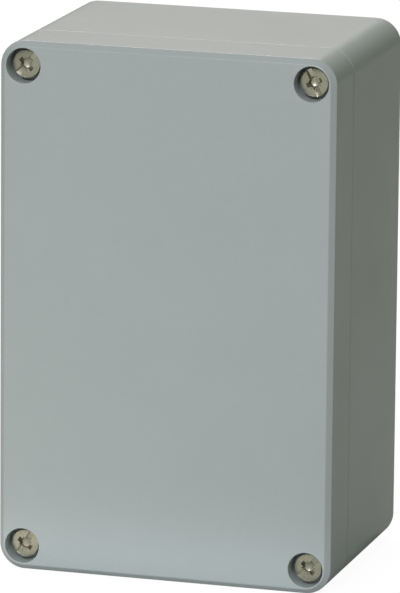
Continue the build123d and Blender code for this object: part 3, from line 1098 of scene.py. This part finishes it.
def turned_head(name, radius, height, crown, edge):
    """Low head with a rounded rim and a slightly crowned top, its underside on level 0."""
    rim = height - crown
    under = 0.15
    profile = [(0, 0), (radius - under, 0), (radius, under)]
    profile += arc(radius - edge, rim - edge, edge, 0, 75, 5)
    start_r, start_z = profile[-1]
    for k in range(1, 7):
        share = k / 7
        profile.append((start_r * (1 - share), start_z + (height - start_z) * (1 - (1 - share) ** 2)))
    profile.append((0, height))
    return revolve(name, profile, 96)


def softened(head, width):
    """Small rounding of a head's sharp edges."""
    step = head.modifiers.new("Soften", "BEVEL")
    step.width = width
    step.segments = 2
    step.limit_method = "ANGLE"
    step.angle_limit = math.radians(35)
    step.use_clamp_overlap = True
    return settle(head)


def screw_piece(name, head, place, rotation, neck, shank, material):
    """One screw: its head and a threaded shank, set in place."""
    screws = fasteners()
    values = {
        "Head": head,
        "Place": place,
        "Rotation": rotation,
        "Core Radius": screws.neck,
        "Thread Radius": screws.thread,
        "Pitch": screws.pitch,
        "Neck Length": neck,
        "Length": shank,
        "Sink": SINK,
        "Rows": int((shank + SINK) / (screws.pitch / 8)) + 1,
    }
    return smooth(run_tree(make_object(name, [], []), "Screw", material, values), 42)


def placed_piece(name, shape, place, rotation, material):
    """Copy of a shape, set in place by the geometry tree."""
    values = {"Shape": shape, "Place": place, "Rotation": rotation}
    return smooth(run_tree(make_object(name, [], []), "Placed copy", material, values), 50)


class BOX_OT_cover_screws(bpy.types.Operator):
    """Captive cover screws with slot and cross recess"""

    bl_idname = "diecast_box.cover_screws"
    bl_label = "Cover screws"
    bl_options = {"REGISTER", "UNDO"}

    def execute(self, context):
        screws = fasteners()
        radius = (SCREW_HIGH.x - SCREW_LOW.x) / 2
        height = screws.head_height
        head = turned_head("screw_head", radius, height, screws.crown, screws.head_edge)
        carve(head, slot_cutter(screws, height, radius + 1))
        crossed(head, screws, height)
        softened(head, 0.1)
        seat_top = SCREW_HIGH.z - height
        shank = seat_top - SCREW_LOW.z
        neck = seat_top - WASHER_LOW.z
        for corner in CORNERS:
            box_low, box_high = lying_box("cover_screw_" + corner)
            middle = (box_low + box_high) / 2
            place = (middle.x, middle.y, seat_top)
            turn = (0.0, 0.0, getattr(screws, "slot_" + corner))
            piece = screw_piece("screw_" + corner, head, place, turn, neck, shank, "Screw steel")
            hand_over(piece, "screw_" + corner, "screw_steel", "cover_screw_" + corner)
        drop(head)
        return {"FINISHED"}


def rounded_ring(name, inner, outer, height, edge):
    """Flat ring with rounded edges, from level 0 up."""
    return revolve(name, rounded_section(inner, outer, 0, height, edge), closed=True)


class BOX_OT_retaining_washers(bpy.types.Operator):
    """Plastic washers that keep the cover screws in the cover"""

    bl_idname = "diecast_box.retaining_washers"
    bl_label = "Retaining washers"
    bl_options = {"REGISTER", "UNDO"}

    def execute(self, context):
        outer = (WASHER_HIGH.x - WASHER_LOW.x) / 2
        screws = fasteners()
        thick = WASHER_HIGH.z - WASHER_LOW.z - screws.washer_gap
        shape = rounded_ring("washer_shape", screws.washer_bore, outer, thick, screws.washer_edge)
        for corner in CORNERS:
            low, high = lying_box("retaining_washer_" + corner)
            place = ((low.x + high.x) / 2, (low.y + high.y) / 2, low.z)
            piece = placed_piece("washer_" + corner, shape, place, (0, 0, 0), "Nylon")
            hand_over(piece, "retainer_" + corner, "washer_nylon", "retaining_washer_" + corner)
        drop(shape)
        return {"FINISHED"}


def cup_shape(screws, outer, height):
    """Pressed cup washer: a disc with a raised, rounded rim."""
    t = screws.cup_thickness
    rim = 0.12
    under = 0.3
    root = 0.25
    bore = screws.earth_bore
    profile = arc(outer - under, under, under, -90, 0, 4)
    profile += arc(outer - rim, height - rim, rim, 0, 90, 3)
    profile += arc(outer - t + rim, height - rim, rim, 90, 180, 3)
    profile += arc(outer - t - root, t + root, root, 0, -90, 3)
    profile += arc(bore + rim, t - rim, rim, 90, 180, 3)
    profile += arc(bore + rim, rim, rim, 180, 270, 3)
    return revolve("cup_shape", profile, closed=True)


def spring_shape(screws, outer, height):
    """Split spring washer, pressed flat."""
    ring = rounded_ring("spring_shape", screws.earth_bore, outer, height, 0.1)
    half = screws.spring_gap / 2
    return carve(ring, block("gap", (0, -half, -1), (2 * outer, half, height + 1)))


def earth_pieces(prefix):
    """Cup washer, spring washer and screw on the earth boss of the base or the cover."""
    screws = fasteners()
    x, y, level, _ = earth_levels(prefix)
    up = 1 if prefix == "base" else -1
    rotation = (0.0, 0.0, 0.0) if prefix == "base" else (math.pi, 0.0, 0.0)
    low, high = lying_box(prefix + "_earth_cup_washer")
    cup = cup_shape(screws, (high.x - low.x) / 2, high.z - low.z)
    low, high = lying_box(prefix + "_earth_spring_washer")
    thick = high.z - low.z
    spring = spring_shape(screws, (high.y - low.y) / 2, thick)
    for kind, shape, step in (("cup", cup, screws.cup_thickness), ("spring", spring, thick)):
        piece = placed_piece(prefix + "_" + kind, shape, (x, y, level), rotation, "Zinc plate")
        hand_over(piece, prefix, "washer_steel", prefix + "_earth_" + kind + "_washer")
        drop(shape)
        level += up * step

    low, high = lying_box(prefix + "_earth_screw")
    height = screws.earth_head
    head = turned_head("earth_head", (high.x - low.x) / 2, height, screws.earth_crown, screws.earth_edge)
    crossed(head, screws, height)
    softened(head, 0.05)
    shank = high.z - low.z - height
    rotation = (rotation[0], 0.0, screws.earth_turn)
    name = prefix + "_earth_bolt"
    piece = screw_piece(name, head, (x, y, level), rotation, 0.0, shank, "Earth screw steel")
    hand_over(piece, prefix, "screw_steel", prefix + "_earth_screw")
    drop(head)


class BOX_OT_earth_points(bpy.types.Operator):
    """Earth screws and washers inside the base and the cover"""

    bl_idname = "diecast_box.earth_points"
    bl_label = "Earth points"
    bl_options = {"REGISTER", "UNDO"}

    def execute(self, context):
        earth_pieces("base")
        earth_pieces("cover")
        return {"FINISHED"}


# Stage


def soft_lamp(name, place, target, size, power, tint):
    """Rectangular area lamp that points at a target."""
    lamp = bpy.data.lights.new(name, "AREA")
    lamp.shape = "RECTANGLE"
    lamp.size, lamp.size_y = size
    lamp.energy = power
    lamp.color = tint
    holder = bpy.data.objects.new(name, lamp)
    holder.location = place
    holder.rotation_euler = (Vector(target) - Vector(place)).to_track_quat("-Z", "Y").to_euler()
    bpy.context.scene.collection.objects.link(holder)
    return holder


def lay_floor(colours):
    """Pale floor with a painted pool of light, lighter close in front of the box to bounce more light onto
    the cover's foot, that the camera sees as near white.
    """
    size = 9
    corners = [(-size, -size, 0), (size, -size, 0), (size, size, 0), (-size, size, 0)]
    floor = make_object("floor", corners, [(0, 1, 2, 3)])
    nodes, shader, result = new_material("Pale floor")
    spot = nodes.place()
    across, back, _ = nodes.parts(spot)
    # Painted pool of light: the floor turns lighter in a patch just in front of the box
    front = nodes.times(nodes.ramp(back, -0.025, -0.05), nodes.ramp(across, 0.06, 0.03))
    close = nodes.times(front, nodes.ramp(nodes.length(spot), 0.4, 0.15))
    mixed = nodes.blend(close, rgba(colours.floor), rgba(colours.floor_light_pool))
    nodes.link(mixed, shader.inputs["Base Color"])
    shader.inputs["Roughness"].default_value = 0.9
    glow = nodes.add("ShaderNodeEmission", {"Color": (1.0, 1.0, 1.0, 1.0), "Strength": FLOOR_GLOW})
    shares = {0: nodes.times(seen_rays(nodes), FLOOR_SHARE), 1: shader.outputs[0], 2: glow.outputs[0]}
    nodes.link(nodes.add("ShaderNodeMixShader", shares).outputs[0], result.inputs[0])
    floor.data.materials.append(bpy.data.materials["Pale floor"])


def light_world(scene, settings):
    """Even light, with white behind everything that the camera sees."""
    world = bpy.data.worlds.new("Even light")
    scene.world = world
    world.use_nodes = True
    world.node_tree.nodes.clear()
    sky = Nodes(world.node_tree)
    light = {"Color": rgba(settings.ambient_tint), "Strength": settings.ambient}
    even = sky.add("ShaderNodeBackground", light)
    white = sky.add("ShaderNodeBackground", {"Color": (1, 1, 1, 1), "Strength": 1.0})
    mixed = sky.add("ShaderNodeMixShader", {0: seen_rays(sky), 1: even.outputs[0], 2: white.outputs[0]})
    sky.add("ShaderNodeOutputWorld", {0: mixed.outputs[0]})


def set_lamps(settings):
    """Front lamp, overhead lamp and a low fill at the foot of the cover."""
    middle = (0, 0, MID_HEIGHT)
    soft_lamp("front_lamp", (0.0, -1.86, 1.228), middle, (0.7, 0.7), settings.key_power, settings.key_tint)
    foot = (0, -0.040, 0.004)
    fill = soft_lamp("low_fill", foot, (0, 0, 0.008), (0.10, 0.006), settings.fill_power, settings.key_tint)
    fill.visible_camera = False
    fill.visible_glossy = False
    above = (-0.353, 0.757, 1.058)
    soft_lamp("overhead_lamp", above, middle, (0.9, 0.9), settings.top_power, settings.top_tint)


def set_camera(scene, settings):
    """Camera at the photograph's place and angle."""
    camera = bpy.data.cameras.new("camera")
    camera.lens = settings.focal_length
    camera.sensor_width = 36
    camera.sensor_fit = "VERTICAL"
    camera.sensor_height = 36
    camera.clip_end = 100
    holder = bpy.data.objects.new("camera", camera)
    scene.collection.objects.link(holder)
    yaw, pitch, roll = settings.yaw, settings.pitch, settings.roll
    level = math.cos(pitch)
    forward = Vector((-math.sin(yaw) * level, math.cos(yaw) * level, -math.sin(pitch)))
    right = Vector((math.cos(yaw), math.sin(yaw), 0))
    down = forward.cross(right)
    turned_right = math.cos(roll) * right + math.sin(roll) * down
    turned_down = math.cos(roll) * down - math.sin(roll) * right
    axes = Matrix((turned_right, -turned_down, -forward)).transposed()
    place = Vector((settings.camera_x, settings.camera_y, settings.camera_z))
    holder.matrix_world = Matrix.Translation(place) @ axes.to_4x4()
    scene.camera = holder


class BOX_OT_stage(bpy.types.Operator):
    """Floor, lamps, world and camera"""

    bl_idname = "diecast_box.stage"
    bl_label = "Stage"
    bl_options = {"REGISTER", "UNDO"}

    def execute(self, context):
        scene = context.scene
        lay_floor(scene.finish_colours)
        light_world(scene, scene.stage_settings)
        set_lamps(scene.stage_settings)
        set_camera(scene, scene.stage_settings)
        scene.view_settings.view_transform = "Standard"
        return {"FINISHED"}


OPERATORS = (
    BOX_OT_finishes,
    BOX_OT_base,
    BOX_OT_cover,
    BOX_OT_seal,
    BOX_OT_cover_screws,
    BOX_OT_retaining_washers,
    BOX_OT_earth_points,
    BOX_OT_stage,
)

SETTINGS = {
    CastingSizes: "casting_sizes",
    ScrewSizes: "screw_sizes",
    FinishColours: "finish_colours",
    StageSettings: "stage_settings",
}


class BOX_PT_sidebar(bpy.types.Panel):
    """Sidebar panel with the operators and their sizes"""

    bl_idname = "BOX_PT_sidebar"
    bl_label = "Die cast box"
    bl_space_type = "VIEW_3D"
    bl_region_type = "UI"
    bl_category = "Die cast box"

    def draw(self, context):
        for operator in OPERATORS:
            self.layout.operator(operator.bl_idname)
        for group, attribute in SETTINGS.items():
            box = self.layout.box()
            box.label(text=group.__doc__)
            for name in group.__annotations__:
                box.prop(getattr(context.scene, attribute), name)


def register():
    for group, name in SETTINGS.items():
        bpy.utils.register_class(group)
        setattr(bpy.types.Scene, name, bpy.props.PointerProperty(type=group))
    for operator in OPERATORS:
        bpy.utils.register_class(operator)
    bpy.utils.register_class(BOX_PT_sidebar)


def unregister():
    bpy.utils.unregister_class(BOX_PT_sidebar)
    for operator in reversed(OPERATORS):
        bpy.utils.unregister_class(operator)
    for group, name in SETTINGS.items():
        delattr(bpy.types.Scene, name)
        bpy.utils.unregister_class(group)


def main():
    register()
    for operator in OPERATORS:
        module, name = operator.bl_idname.split(".")
        getattr(getattr(bpy.ops, module), name)()


if __name__ == "__main__":
    main()
